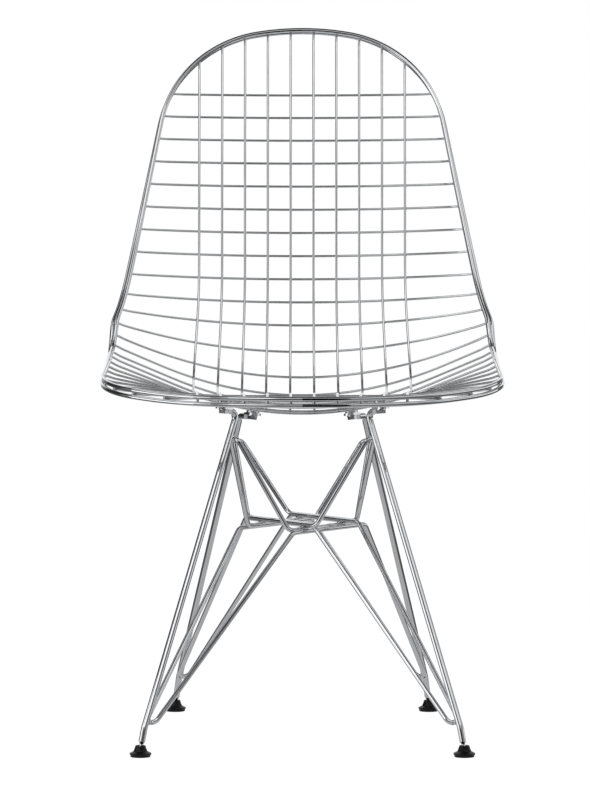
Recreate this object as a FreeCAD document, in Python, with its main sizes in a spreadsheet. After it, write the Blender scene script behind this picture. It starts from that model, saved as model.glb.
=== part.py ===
import FreeCAD, Part

import math
import os

import Sketcher
from FreeCAD import Placement, Rotation, Vector

# Wire mesh chair: a welded steel mesh seat shell with a double rim, on four bent legs
# that are tied together by four closed loops of rod. Millimetres, +X to the sitter's left
# as seen from the front, +Y to the back, +Z up, origin on the floor under the seat.

# Driving sizes: name, value, what it is.
SIZES = [
    # The centre line of the shell, from the middle of the top edge down and forward.
    ("back_top_depth", 250.1, "Y of the middle of the top edge"),
    ("back_top_height", 834.9, "Z of the middle of the top edge"),
    ("back_top_lean", 23.1, "lean from vertical at the top edge, degrees"),
    ("back_upper_run", 228.9, "length of the upper back"),
    ("back_upper_lean", 11.0, "lean at its lower end"),
    ("back_lower_run", 141.6, "length of the lower back"),
    ("back_lower_lean", 15.8, "lean at its lower end"),
    ("bend_upper_run", 49.9, "length of the first part of the bend"),
    ("bend_upper_lean", 25.7, "lean at its end"),
    ("bend_lower_run", 59.8, "length of the tight part of the bend"),
    ("bend_lower_lean", 72.2, "lean at its end"),
    ("seat_rear_run", 100.0, "length of the rear of the seat"),
    ("seat_rear_lean", 105.4, "lean at its end, past 90 it rises to the front"),
    ("seat_middle_run", 165.0, "length of the middle of the seat"),
    ("seat_middle_lean", 98.1, "lean at its end"),
    ("seat_front_lean", 81.3, "lean at the front edge"),
    # The outline of the shell laid flat, half of it, from the top middle.
    ("top_edge_radius", 317.0, "radius of the top edge"),
    ("top_edge_turn", 10.2, "half of its turn, degrees"),
    ("shoulder_radius", 145.4, "radius of the shoulders"),
    ("back_flare", 11.06, "angle of the sides of the back, degrees"),
    ("back_side_run", 262.4, "length of the straight side of the back"),
    ("hip_radius", 210.0, "radius between the back and seat sides"),
    ("seat_flare", 2.48, "angle of the sides of the seat, degrees"),
    ("seat_side_run", 251.9, "length of the straight side of the seat"),
    ("front_corner_radius", 115.0, "radius of the front corners"),
    ("front_edge_radius", 300.0, "radius of the front edge"),
    # How the shell is dished from side to side.
    ("dish_top", 0.54, "curvature across the shell at the top edge, per metre"),
    ("dish_back", 1.27, "across the upper back"),
    ("dish_waist", 2.5, "across the lower back"),
    ("dish_bend", 3.23, "across the bend"),
    ("dish_seat", 2.94, "across the rear of the seat"),
    ("dish_lap", 1.32, "across the middle of the seat"),
    ("dish_front", -0.68, "across the front edge, where the sides drop"),
    ("dish_run_back", 160.0, "run of the upper back's value"),
    ("dish_run_waist", 320.0, "run of the lower back's value"),
    ("dish_run_bend", 420.0, "run of the bend's value"),
    ("dish_run_seat", 520.0, "run of the seat's value"),
    ("dish_run_lap", 640.0, "run of the middle of the seat's value"),
    ("flank_start_back", 324.5, "distance from the middle where the back turns straight"),
    ("flank_start_seat", 153.3, "the same on the seat"),
    ("flank_run_start", 330.0, "run where the flank starts to change"),
    ("flank_run_end", 500.0, "run where the flank has changed"),
    ("rise_lean_back", 11.6, "direction in which the back is dished, from level, degrees"),
    ("rise_lean_seat", 95.8, "direction in which the seat is dished"),
    ("rise_run_start", 303.5, "run where that direction starts to turn"),
    ("rise_run_end", 618.0, "run where it has turned"),
    # The mesh.
    ("mesh_wire_diameter", 3.0, "diameter of the mesh wires"),
    ("cross_wire_first_run", 82.6, "run of the first cross wire"),
    ("cross_wire_pitch", 28.6, "run from one cross wire to the next"),
    ("cross_wire_bend_pitch", 33.2, "the first two pitches at the bend, which are wider"),
    ("cross_wire_seat_pitch", 29.4, "the next two"),
    ("long_wire_pitch_back", 28.0, "distance between the long wires on the back"),
    ("long_wire_pitch_bend", 29.4, "distance between them at the bend"),
    ("long_wire_pitch_front", 27.4, "distance between them at the front edge"),
    ("long_wire_run_back", 300.0, "run where the long wires start to spread"),
    ("long_wire_run_bend", 480.0, "run where they are widest apart"),
    ("wire_tuck", 16.0, "length at each wire end that bends in between the rims"),
    ("weld_sink", 0.3, "how far welded wires and rods sink into each other"),
    ("boss_sink", 0.05, "how far the wire above a boss sinks into it"),
    ("rim_diameter", 5.6, "diameter of the two rim wires"),
    ("rim_arc_length", 44.0, "length between the places where a rim wire's bend changes"),
    ("long_arc_length", 44.0, "the same on a long wire"),
    # The base.
    ("leg_diameter", 8.0, "diameter of the leg rod"),
    ("foot_front_x", 191.4, "X of the front feet"),
    ("foot_rear_x", 156.2, "X of the rear feet"),
    ("base_middle_y", -7.9, "Y of the middle of the base"),
    ("foot_reach", 201.0, "from there to the feet, to the front and to the rear"),
    ("leg_end_tilt_share", 0.65, "share of the rake that the end of a leg keeps"),
    ("front_end_height", 34.0, "height of the bend near the foot, front"),
    ("rear_end_height", 43.0, "height of the bend near the foot, rear"),
    ("foot_bend_radius", 40.0, "radius of that bend"),
    ("knee_bend_radius", 8.5, "radius of the bend at the top of a leg"),
    ("front_pad_reach", 24.4, "from the bolt to the corner of the leg, front"),
    ("rear_pad_reach", 27.4, "from the bolt to the corner of the leg, rear"),
    ("front_bolt_x", 92.5, "X of the front bolts"),
    ("rear_bolt_x", 59.0, "X of the rear bolts"),
    ("pad_slope_back", 0.13, "fall of the pads to the rear"),
    ("front_pad_slope_side", 0.07, "rise of the front pads to the side"),
    ("rear_pad_slope_side", 0.12, "rise of the rear pads to the side"),
    ("pad_width", 16.0, "width of the flattened end of a leg"),
    ("pad_thickness", 2.8, "its thickness"),
    ("pad_nose", 11.5, "from the bolt to the end of the pad"),
    ("pad_heel", 7.0, "from the bolt to the start of the flare"),
    ("pad_flare", 5.5, "length over which the rod flattens"),
    ("pad_step", 0.3, "how far the pad's top stands above the rod"),
    ("flare_lip", 0.15, "how far the flare stands out from the rod where it starts"),
    ("flare_lap", 0.3, "how far the flare laps over the rod"),
    ("brace_diameter", 6.0, "diameter of the brace rod"),
    ("brace_level", 259.5, "height of the upper layer where the braces cross"),
    ("brace_cross_x", 48.9, "half the width of the diamond where the upper loops cross"),
    ("brace_cross_y", 52.7, "half its depth"),
    ("upper_brace_overrun", 23.8, "how far the upper loops run past the crossing"),
    ("inner_brace_overrun", 12.4, "how far the inner lower loop runs past it"),
    ("inner_brace_side_run", 34.0, "the same at the sides"),
    ("outer_brace_overrun", 22.0, "how far the outer lower loop runs past it"),
    ("outer_brace_side_run", 33.0, "the same at the sides"),
    ("outer_brace_drop", 2.0, "how far the outer lower loop hangs below its neighbour"),
    ("brace_gap", 0.05, "gap between rods that lie side by side"),
    ("brace_bend_radius", 11.0, "radius of the bends at the crossing"),
    ("brace_hook_radius", 8.0, "radius of the bends that touch a leg"),
    ("upper_brace_drop", 28.5, "how far below the corner of a leg the upper loops touch"),
    ("front_lower_brace_height", 42.0, "height where the lower loops touch, front"),
    ("rear_lower_brace_height", 47.0, "height where the lower loops touch, rear"),
    # Fasteners between the shell and the legs.
    ("boss_diameter", 16.0, "diameter of the bosses welded under the mesh"),
    ("front_boss_thickness", 9.0, "thickness of the front bosses"),
    ("rear_boss_thickness", 4.8, "thickness of the rear bosses"),
    ("bolt_diameter", 6.0, "diameter of the bolt shank"),
    ("bolt_head_flats", 10.0, "width of the hexagon head"),
    ("bolt_head_height", 4.0, "height of the head"),
    ("bolt_bevel_slope", 1.73, "how much the bevel widens per height"),
    ("bolt_reach", 3.6, "how far the shank goes into the boss"),
    ("bolt_clearance", 0.2, "gap round the shank in the pad and washer"),
    ("thread_clearance", 0.03, "gap round the shank in the boss"),
    ("washer_diameter", 12.5, "diameter of the washers"),
    ("washer_thickness", 1.2, "their thickness"),
    # Tilting glides on ball ends.
    ("ball_diameter", 8.0, "diameter of the ball at the end of a leg"),
    ("ball_height", 9.1, "height of the centre of the ball"),
    ("ball_clearance", 0.05, "gap between the ball and its socket"),
    ("neck_diameter", 4.0, "diameter of the neck above the ball"),
    ("neck_length", 6.0, "from the centre of the ball to the top of the neck"),
    ("shoulder_length", 9.0, "from the centre of the ball to the full rod"),
    ("glide_sole_radius", 11.7, "radius of the flat sole"),
    ("glide_wall_radius", 12.1, "radius where the sole's bevel ends"),
    ("glide_wall_height", 2.0, "height of that place"),
    ("glide_brim_radius", 13.0, "largest radius"),
    ("glide_brim_height", 3.2, "height of the largest radius"),
    ("glide_brim_top", 4.4, "height where the brim ends"),
    ("glide_waist_radius", 8.4, "radius halfway up the flank"),
    ("glide_waist_height", 6.7, "height of that place"),
    ("glide_neck_radius", 7.35, "radius where the collar starts"),
    ("glide_neck_height", 9.0, "height of that place"),
    ("glide_collar_radius", 5.9, "outer radius at the top"),
    ("glide_height", 13.5, "height of a glide"),
    ("glide_mouth_radius", 3.6, "radius of the mouth that holds the ball"),
    ("glide_flare_radius", 4.9, "inner radius at the top"),
]

CROSS_WIRES = 25
LONG_WIRES = 10
BEND_WIRES = (11, 12)
REAR_SEAT_WIRES = (13, 14)
FRONT_BOLT_WIRE_INDEX = 20
REAR_BOLT_WIRE_INDEX = 15
SLOPE_STEP = 0.02
MM_PER_M = 1000.0
STRAIGHT_WITHIN = 1e-4

os.makedirs("parts", exist_ok=True)
doc = FreeCAD.newDocument("WireChair")
sheet = doc.addObject("Spreadsheet::Sheet", "Sizes")
for row, (alias, value, note) in enumerate(SIZES, start=1):
    sheet.set(f"A{row}", note)
    sheet.set(f"B{row}", str(value))
    sheet.setAlias(f"B{row}", alias)
doc.recompute()


def size(alias):
    """The value of one driving size."""
    return float(sheet.get(alias))


def feature(name, shape):
    """A document object that holds a shape worked out below."""
    item = doc.addObject("Part::Feature", name)
    item.Label = name
    item.Shape = shape
    return item


def level(vector):
    """The same direction without its height."""
    return Vector(vector.x, vector.y, 0)


def unit(vector):
    """The same direction with length one."""
    return Vector(vector).normalize()


# The shell as a surface. A place on it is named by its run, the distance down the centre
# line from the top edge, and its side, the distance from the centre line.


def smooth(share):
    """A step from 0 to 1 with level ends."""
    share = max(0.0, min(1.0, share))
    return share * share * (3 - 2 * share)


def between(run, stops):
    """The value at a run, eased between the stops (run, value)."""
    for (run_a, value_a), (run_b, value_b) in zip(stops, stops[1:]):
        if run <= run_b:
            return value_a + (value_b - value_a) * smooth((run - run_a) / (run_b - run_a))
    return stops[-1][1]


def slope_at(index, stops):
    """The slope of the curve through the stops at one of them, from its neighbours."""
    index = max(1, min(len(stops) - 2, index))
    (run_a, value_a), (run_b, value_b), (run_c, value_c) = stops[index - 1 : index + 2]
    before = (value_b - value_a) / (run_b - run_a)
    after = (value_c - value_b) / (run_c - run_b)
    return (before * (run_c - run_b) + after * (run_b - run_a)) / (run_c - run_a)


def flowing(run, stops):
    """The value at a run on a smooth curve through the stops (run, value)."""
    run = max(stops[0][0], min(stops[-1][0], run))
    index = next(place for place in range(1, len(stops)) if run <= stops[place][0])
    (run_a, value_a), (run_b, value_b) = stops[index - 1 : index + 1]
    length = run_b - run_a
    chord = (value_b - value_a) / length
    slope_a = chord if index == 1 else slope_at(index - 1, stops)
    slope_b = chord if index == len(stops) - 1 else slope_at(index, stops)
    share = (run - run_a) / length
    bow_a = (slope_a - chord) * length * share * (1 - share) ** 2
    bow_b = (slope_b - chord) * length * share**2 * (share - 1)
    return value_a + (value_b - value_a) * share + bow_a + bow_b


def outline_pieces():
    """The half outline laid flat: (length, turn in radians) from the top middle."""
    top_turn = math.radians(size("top_edge_turn"))
    flare = math.radians(size("back_flare"))
    seat_flare = math.radians(size("seat_flare"))
    corner = size("front_corner_radius")
    front = size("front_edge_radius")
    shoulder_turn = math.pi / 2 - flare - top_turn
    rear_part = [
        (size("top_edge_radius") * top_turn, top_turn),
        (size("shoulder_radius") * shoulder_turn, shoulder_turn),
        (size("back_side_run"), 0.0),
        (size("hip_radius") * (flare - seat_flare), flare - seat_flare),
        (size("seat_side_run"), 0.0),
    ]
    # The front edge is an arc about the centre line that the corner arc runs into.
    side = outline_place(rear_part, math.inf)[0] - corner * math.cos(seat_flare)
    edge_turn = math.asin(side / (front - corner))
    corner_turn = math.pi / 2 + seat_flare - edge_turn
    return rear_part + [(corner * corner_turn, corner_turn), (front * edge_turn, edge_turn)]


def outline_place(pieces, distance):
    """(side, run) at a distance along the half outline."""
    side = run = heading = 0.0
    for length, turn in pieces:
        part = min(distance, length)
        angle = turn * part / length
        middle = heading + angle / 2
        chord = part if abs(angle) < 1e-9 else 2 * part / angle * math.sin(angle / 2)
        side += chord * math.cos(middle)
        run += chord * math.sin(middle)
        heading += angle
        distance -= part
        if distance <= 0:
            break
    return side, run


OUTLINE = outline_pieces()
OUTLINE_LENGTH = sum(length for length, turn in OUTLINE)
SHELL_RUN = outline_place(OUTLINE, math.inf)[1]

PROFILE_ENDS = [
    (size("back_upper_run"), size("back_upper_lean")),
    (size("back_lower_run"), size("back_lower_lean")),
    (size("bend_upper_run"), size("bend_upper_lean")),
    (size("bend_lower_run"), size("bend_lower_lean")),
    (size("seat_rear_run"), size("seat_rear_lean")),
    (size("seat_middle_run"), size("seat_middle_lean")),
]
PROFILE_ENDS.append((SHELL_RUN - sum(run for run, lean in PROFILE_ENDS), size("seat_front_lean")))

DISH = [
    (0.0, size("dish_top")),
    (size("dish_run_back"), size("dish_back")),
    (size("dish_run_waist"), size("dish_waist")),
    (size("dish_run_bend"), size("dish_bend")),
    (size("dish_run_seat"), size("dish_seat")),
    (size("dish_run_lap"), size("dish_lap")),
    (SHELL_RUN, size("dish_front")),
]
FLANK = [
    (size("flank_run_start"), size("flank_start_back")),
    (size("flank_run_end"), size("flank_start_seat")),
]
RISE = [
    (size("rise_run_start"), math.radians(size("rise_lean_back"))),
    (size("rise_run_end"), math.radians(size("rise_lean_seat"))),
]


def eased(run, stops):
    """Like between, but level before the first stop."""
    return between(max(run, stops[0][0]), stops)


def half_width(run):
    """How far the outline is from the centre line at a run."""
    low, high = 0.0, OUTLINE_LENGTH
    for _ in range(45):
        middle = (low + high) / 2
        if outline_place(OUTLINE, middle)[1] < run:
            low = middle
        else:
            high = middle
    return outline_place(OUTLINE, low)[0]


def centre_place(run):
    """(y, z) of the centre line at a run: a chain of arcs that meet without a kink."""
    y = size("back_top_depth")
    z = size("back_top_height")
    lean = math.radians(size("back_top_lean"))
    for index, (length, end) in enumerate(PROFILE_ENDS):
        last = index == len(PROFILE_ENDS) - 1
        part = run if last else min(run, length)
        turn = (math.radians(end) - lean) * part / length
        chord = part if abs(turn) < 1e-9 else 2 * part / turn * math.sin(turn / 2)
        y -= chord * math.sin(lean + turn / 2)
        z -= chord * math.cos(lean + turn / 2)
        lean += turn
        run -= part
        if run == 0:
            break
    return y, z


def surface(run, side):
    """The point of the mesh's middle surface at a run and side."""
    y, z = centre_place(run)
    flank = eased(run, FLANK)
    reach = min(abs(side), flank)
    bow = reach * reach / 2 + flank * (abs(side) - reach)
    rise = flowing(run, DISH) / MM_PER_M * bow
    direction = eased(run, RISE)
    return Vector(side, y - rise * math.cos(direction), z + rise * math.sin(direction))


def facing(run, side):
    """The unit normal of the surface, on the sitter's side."""
    across = surface(run, side + SLOPE_STEP) - surface(run, side - SLOPE_STEP)
    along = surface(run + SLOPE_STEP, side) - surface(run - SLOPE_STEP, side)
    return along.cross(across).normalize()


def raised(run, side, height):
    """A point at a height above the middle surface, towards the sitter."""
    return surface(run, side) + facing(run, side) * height


# Bent wire: paths are arcs and straight runs that meet without a kink.


def tangent_arc(start, corner, end):
    """The arc from start to end whose end tangents meet at corner."""
    half_chord = (end - start) * 0.5
    to_corner = corner - start - half_chord
    turn = math.atan2(to_corner.Length, half_chord.Length)
    if to_corner.Length < STRAIGHT_WITHIN:
        return Part.LineSegment(start, end).toShape()
    sagitta = half_chord.Length * math.tan(turn / 2)
    top = start + half_chord + to_corner.normalize() * sagitta
    return Part.Arc(start, top, end).toShape()


def arc_pair(start, start_way, end, end_way):
    """Two arcs that leave start and reach end in the given directions."""
    span = end - start
    ways = start_way + end_way
    spread = 2 * (1 - start_way.dot(end_way))
    along = span.dot(ways)
    if spread < 1e-9:
        reach = span.Length / 4
    else:
        reach = (math.sqrt(along * along + spread * span.dot(span)) - along) / spread
    first = start + start_way * reach
    second = end - end_way * reach
    joint = (first + second) * 0.5
    return [tangent_arc(start, first, joint), tangent_arc(joint, second, end)]


def arc_chain(curve, stops):
    """A wire of arcs through the curve's points at the stops, tangent to it there."""
    step = (stops[-1] - stops[0]) * 1e-5
    edges = []
    for low, high in zip(stops, stops[1:]):
        low_way = unit(curve(low + step) - curve(low - step))
        high_way = unit(curve(high + step) - curve(high - step))
        edges += arc_pair(curve(low), low_way, curve(high), high_way)
    return Part.Wire(edges)


def divided(low, high, longest):
    """The ends of equal parts of a stretch, none much longer than the limit."""
    parts = max(1, round((high - low) / longest))
    return [low + (high - low) * (part + 1) / parts for part in range(parts)]


def rounded_path(corners, radii, closed=False):
    """A wire of straight runs with an arc at each corner."""
    count = len(corners)
    cuts = []
    for index in range(count):
        if not closed and index in (0, count - 1):
            cuts.append((corners[index], corners[index]))
            continue
        corner = corners[index]
        back = unit(corners[index - 1] - corner)
        ahead = unit(corners[(index + 1) % count] - corner)
        half_angle = back.getAngle(ahead) / 2
        cut = radii[index] / math.tan(half_angle)
        cuts.append((corner + back * cut, corner + ahead * cut))
    edges = []
    for index in range(count):
        if closed or index not in (0, count - 1):
            edges.append(tangent_arc(cuts[index][0], corners[index], cuts[index][1]))
        if closed or index < count - 1:
            after = cuts[(index + 1) % count][0]
            edges.append(Part.LineSegment(cuts[index][1], after).toShape())
    return Part.Wire(edges)


def rod(path, diameter):
    """A round rod along a wire, compared with its section times its length."""
    first = path.OrderedEdges[0]
    start = first.valueAt(first.FirstParameter)
    way = first.tangentAt(first.FirstParameter)
    section = Part.Face(Part.Wire(Part.Circle(start, way, diameter / 2).toShape()))
    solid = path.makePipe(section)
    expected = math.pi * diameter**2 / 4 * path.Length
    if abs(solid.Volume - expected) > 0.005 * expected:
        raise ValueError(f"rod volume {solid.Volume:.1f}, expected {expected:.1f}")
    return solid


def rod_loop(path, diameter):
    """A closed loop of rod, bent from two lengths that meet end to end."""
    edges = path.OrderedEdges
    half = len(edges) // 2
    return joined([rod(Part.Wire(part), diameter) for part in (edges[:half], edges[half:])])


def joined(shapes):
    """One solid from shapes that meet."""
    whole = shapes[0].multiFuse(shapes[1:]).removeSplitter()
    if len(whole.Solids) != 1:
        raise ValueError(f"{len(whole.Solids)} solids where one was meant")
    return whole.Solids[0]


# The mesh: cross wires lie under the long wires and both end between the two rims.

WIRE_RADIUS = size("mesh_wire_diameter") / 2
LAYER = WIRE_RADIUS - size("weld_sink") / 2
RIM_OFFSET = (size("mesh_wire_diameter") + size("rim_diameter")) / 2 - size("weld_sink")


def layer_height(distance_to_rim, layer):
    """The height of a wire's axis, which bends in to the middle at the rims."""
    return layer * smooth(distance_to_rim / size("wire_tuck"))


def cross_wire_runs():
    """The run of each cross wire."""
    runs = [size("cross_wire_first_run")]
    for index in range(1, CROSS_WIRES):
        pitch = size("cross_wire_pitch")
        if index in BEND_WIRES:
            pitch = size("cross_wire_bend_pitch")
        elif index in REAR_SEAT_WIRES:
            pitch = size("cross_wire_seat_pitch")
        runs.append(runs[-1] + pitch)
    return runs


CROSS_RUNS = cross_wire_runs()


def cross_wire_curve(run):
    """The axis of the cross wire at a run, as a function of the side."""
    edge = half_width(run)

    def curve(side):
        return raised(run, side, layer_height(edge - abs(side), -LAYER))

    return curve


def cross_wire(run):
    """One cross wire, from rim to rim."""
    edge = half_width(run)
    tuck = size("wire_tuck")
    bend = min(eased(run, FLANK), edge - 2 * tuck)
    half = [0.0, bend / 2, bend, edge - tuck, edge]
    stops = [-side for side in reversed(half[1:])] + half
    return rod(arc_chain(cross_wire_curve(run), stops), size("mesh_wire_diameter"))


def lane_side(lane, run):
    """The side of a long wire at a run; the lanes spread a little at the bend."""
    back = size("long_wire_run_back")
    bend = size("long_wire_run_bend")
    stops = [
        (back, size("long_wire_pitch_back")),
        (bend, size("long_wire_pitch_bend")),
        (SHELL_RUN, size("long_wire_pitch_front")),
    ]
    return lane * eased(run, stops)


def edge_run(lane, low, high):
    """The run between low, inside the outline, and high, outside, where a lane ends."""
    for _ in range(40):
        middle = (low + high) / 2
        if abs(lane_side(lane, middle)) < half_width(middle):
            low = middle
        else:
            high = middle
    return low


def long_wire(lane):
    """One long wire, from the top edge down the back and over the seat to the front."""
    inside = size("cross_wire_first_run")
    top = edge_run(lane, inside, 0.0)
    front = edge_run(lane, CROSS_RUNS[-1], SHELL_RUN)

    def curve(run):
        height = layer_height(min(run - top, front - run), LAYER)
        return raised(run, lane_side(lane, run), height)

    stops = [top, top + size("wire_tuck")]
    turns = [sum(run for run, lean in PROFILE_ENDS[: count + 1]) for count in range(len(PROFILE_ENDS))]
    for turn in turns[:-1] + [front - size("wire_tuck")]:
        stops += divided(stops[-1], turn, size("long_arc_length"))
    stops.append(front)
    return rod(arc_chain(curve, stops), size("mesh_wire_diameter"))


def rim(height):
    """One rim wire, at a height above or below the middle surface."""

    def curve(distance):
        past_front = max(0.0, distance - OUTLINE_LENGTH)
        side, run = outline_place(OUTLINE, abs(distance) - 2 * past_front)
        other_half = distance < 0 or past_front > 0
        return raised(run, -side if other_half else side, height)

    marks = [0.0]
    for length, turn in OUTLINE:
        marks += divided(marks[-1], marks[-1] + length, size("rim_arc_length"))
    half = rod(arc_chain(curve, marks), size("rim_diameter"))
    return joined([half, half.mirror(Vector(0, 0, 0), Vector(1, 0, 0))])


for number, run in enumerate(CROSS_RUNS, start=1):
    feature(f"cross_wire_{number:02d}", cross_wire(run))
for number in range(1, LONG_WIRES + 1):
    feature(f"long_wire_{number:02d}", long_wire(number - (LONG_WIRES + 1) / 2))
feature("rim_upper", rim(RIM_OFFSET))
feature("rim_lower", rim(-RIM_OFFSET))


# The legs: each bolts to a boss under one cross wire, bends down and ends in a ball.

ROD_DEPTH = size("leg_diameter") / 2 + size("pad_step")


class Corner:
    """One of the four places where a leg holds the shell."""

    def __init__(self, name, front, left):
        self.name = name
        self.front = front
        end = "front" if front else "rear"
        sign = 1 if left else -1
        foot_y = size("base_middle_y") - size("foot_reach") * (1 if front else -1)
        bolt_x = sign * size(f"{end}_bolt_x")
        self.ball = Vector(sign * size(f"foot_{end}_x"), foot_y, size("ball_height"))
        self.end_height = size(f"{end}_end_height")
        self.reach = size(f"{end}_pad_reach")
        self.brace_height = size(f"{end}_lower_brace_height")
        side_slope = sign * size(f"{end}_pad_slope_side")
        self.up = Vector(-side_slope, size("pad_slope_back"), 1).normalize()
        over = FRONT_BOLT_WIRE_INDEX if front else REAR_BOLT_WIRE_INDEX
        wire = cross_wire_curve(CROSS_RUNS[over])
        self.boss_top = self.seat_under(wire, bolt_x)
        self.boss_size = f"{end}_boss_thickness"
        self.pad_top = self.boss_top - self.up * size(self.boss_size)
        self.outward = unit(level(self.ball - self.boss_top))
        corner = self.pad_top - self.outward * self.reach * (1 if front else -1)
        lift = (self.pad_top - corner).dot(self.up) / self.up.z
        pad_way = 1 if front else -1
        self.knee = corner + Vector(0, 0, lift) - self.up * ROD_DEPTH
        along = self.outward * pad_way
        self.pad_way = unit(along - self.up * along.dot(self.up))
        self.ankle = self.ankle_place()

    def seat_under(self, wire, bolt_x):
        """The middle of the boss's top, which just touches the cross wire above it."""
        radius = size("boss_diameter") / 2
        places = [wire(bolt_x + radius * share / 4) for share in range(-4, 5)]
        lowest = min(places, key=self.up.dot)
        middle = wire(bolt_x)
        drop = (middle - lowest).dot(self.up) + WIRE_RADIUS - size("boss_sink")
        return middle - Vector(0, 0, drop / self.up.z)

    def ankle_place(self):
        """The corner near the foot, below which the leg stands steeper."""
        rise = self.end_height - self.ball.z
        across = level(self.ball - self.knee).Length
        tilt = 0.0
        for _ in range(20):
            rake = math.atan2(across - rise * math.tan(tilt), self.knee.z - self.end_height)
            tilt = rake * size("leg_end_tilt_share")
        return self.ball - self.outward * rise * math.tan(tilt) + Vector(0, 0, rise)

    def axis_at(self, height):
        """The point of the leg's main axis at a height."""
        share = (height - self.ankle.z) / (self.knee.z - self.ankle.z)
        return self.ankle + (self.knee - self.ankle) * share


CORNERS = {
    name: Corner(name, name.startswith("front"), name.endswith("left"))
    for name in ("front_right", "front_left", "rear_right", "rear_left")
}


def placed(shape, base, way, up):
    """A shape drawn with x along way and z along up, moved to base."""
    side = up.cross(way)
    copy = shape.copy()
    copy.Placement = Placement(base, Rotation(way, side, up, "ZXY"))
    return copy


def pad(corner):
    """The flattened end of a leg with its bolt hole, at the origin, top face at zero."""
    width = size("pad_width")
    thickness = size("pad_thickness")
    radius = size("leg_diameter") / 2 + size("flare_lip")
    flat_start = -size("pad_heel")
    nose_place = size("pad_nose") - width / 2
    corner_place = Vector(flat_start, -width / 2, -thickness)
    plate = Part.makeBox(nose_place - flat_start, width, thickness, corner_place)
    nose = Part.makeCylinder(width / 2, thickness, Vector(nose_place, 0, -thickness))
    step = size("pad_step")
    round_end = flat_start - size("pad_flare") - size("flare_lap")
    rod_circle = Part.Circle(Vector(round_end, 0, -ROD_DEPTH), Vector(1, 0, 0), radius)
    flat_oval = Part.Ellipse(Vector(0, 0, 0), width / 2 - step, thickness / 2 - step).toShape()
    flat_oval.Placement = Placement(
        Vector(flat_start + step, 0, -thickness / 2),
        Rotation(Vector(0, 1, 0), Vector(0, 0, 1), Vector(1, 0, 0), "ZXY"),
    )
    flare = Part.makeLoft([Part.Wire(rod_circle.toShape()), Part.Wire(flat_oval)], True, True)
    hole = Part.makeCylinder(
        size("bolt_diameter") / 2 + size("bolt_clearance"),
        3 * radius,
        Vector(0, 0, -2 * radius),
    )
    whole = joined([plate, nose, flare]).cut(hole)
    return placed(whole, corner.pad_top, corner.pad_way, corner.up)


def ball_end(corner):
    """The turned end of a leg: a ball, a thin neck and a cone up to the full rod."""
    way = unit(corner.ankle - corner.ball)
    ball = Part.makeSphere(size("ball_diameter") / 2, corner.ball)
    neck = Part.makeCylinder(size("neck_diameter") / 2, size("neck_length"), corner.ball, way)
    cone = Part.makeCone(
        size("neck_diameter") / 2,
        size("leg_diameter") / 2,
        size("shoulder_length") - size("neck_length"),
        corner.ball + way * size("neck_length"),
        way,
    )
    return ball.fuse(neck).fuse(cone)


def leg(corner):
    """One leg: foot end, long raked rod, hooked top and bolt pad."""
    end_way = unit(corner.ankle - corner.ball)
    start = corner.ball + end_way * size("shoulder_length")
    pad_start = size("pad_heel") + size("pad_flare")
    axis = corner.pad_top - corner.up * ROD_DEPTH
    end = axis - corner.pad_way * pad_start
    radii = [0, size("foot_bend_radius"), size("knee_bend_radius"), 0]
    shaft = rod(rounded_path([start, corner.ankle, corner.knee, end], radii), size("leg_diameter"))
    return joined([shaft, pad(corner), ball_end(corner)])


for name, corner in CORNERS.items():
    feature(f"leg_{name}", leg(corner))


# The braces: four closed loops. Each runs past the middle twice and hooks onto the inner
# sides of two legs that stand diagonally across from each other.


def run_line(offset, drop, overrun, side_run, mirrored):
    """The two corners of a straight run past the front, offset outwards and lowered."""
    half_x = size("brace_cross_x")
    half_y = size("brace_cross_y")
    way = unit(Vector(-half_x, half_y, 0))
    outward = Vector(-way.y, way.x, 0)
    middle = Vector(0, size("base_middle_y"), size("brace_level") - drop)
    shift = middle + outward * offset
    front = Vector(0, -half_y, 0) - way * overrun + shift
    side = Vector(-half_x, 0, 0) + way * side_run + shift
    if mirrored:
        front.x = -front.x
        side.x = -side.x
    return front, side


def half_turned(place):
    """The same place, turned half round the vertical line through the base's middle."""
    return Vector(-place.x, 2 * size("base_middle_y") - place.y, place.z)


def hook(corner, height, first, second):
    """The sharp corner of a hook whose bend touches the inner side of a leg."""
    leg_place = corner.axis_at(height)
    leg_way = unit(corner.knee - corner.ankle)
    inward = (first + second) * 0.5 - leg_place
    inward = unit(inward - leg_way * inward.dot(leg_way))
    reach = (size("leg_diameter") + size("brace_diameter")) / 2 - size("weld_sink")
    touch = leg_place + inward * reach
    tip = Vector(touch)
    for _ in range(60):
        to_first = unit(first - tip)
        to_second = unit(second - tip)
        half_angle = to_first.getAngle(to_second) / 2
        bisector = unit(to_first + to_second)
        tip = touch - bisector * size("brace_hook_radius") * (1 / math.sin(half_angle) - 1)
    return tip


def brace_loop(front_leg, rear_leg, heights, line):
    """A closed loop: front leg, front corner, side, rear leg, and half round back."""
    front, side = line
    rear = half_turned(front)
    other_side = half_turned(side)
    front_hook = hook(front_leg, heights[0], front, other_side)
    rear_hook = hook(rear_leg, heights[1], rear, side)
    corners = [front_hook, front, side, rear_hook, rear, other_side]
    bend = size("brace_bend_radius")
    hooked = size("brace_hook_radius")
    path = rounded_path(corners, [hooked, bend, bend, hooked, bend, bend], closed=True)
    return rod_loop(path, size("brace_diameter"))


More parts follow.
